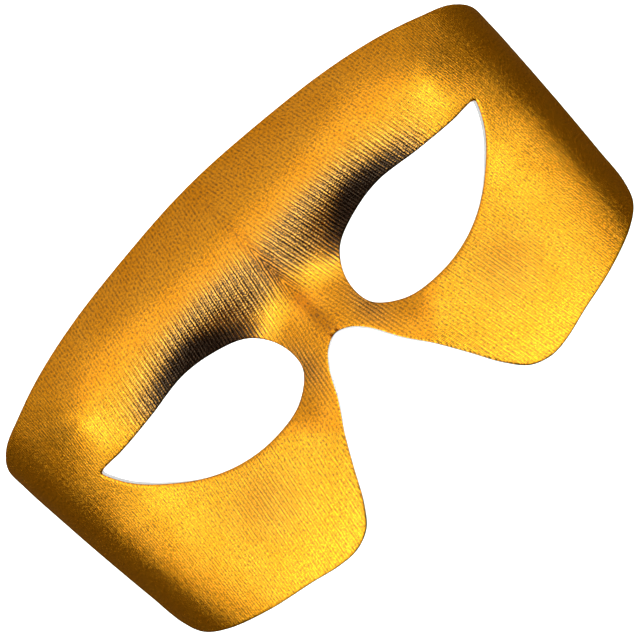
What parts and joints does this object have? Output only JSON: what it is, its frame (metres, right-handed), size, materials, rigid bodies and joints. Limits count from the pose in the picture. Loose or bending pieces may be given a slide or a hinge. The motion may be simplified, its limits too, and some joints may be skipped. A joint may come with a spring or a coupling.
{
  "type": "masquerade half mask",
  "caption": "Moulded half mask with gold ribbed cloth over its face, almond eye holes and a notch for the nose.",
  "frame": {"origin": "middle of the mask on the surface it lies on, face up", "axes": "+Z out of the face, +Y towards the forehead, +X towards the wearer's left"},
  "size_m": [0.1772, 0.0998, 0.0626],
  "materials": {
    "gold_cloth": "metallic gold cloth with fine lengthwise ribs, bonded to a stiff shell",
    "lining": "matt pale grey, plain, inside the mask and at its cut edges"
  },
  "bodies": {
    "root": {"mask_shell": "gold_cloth"}
  },
  "joints": []
}
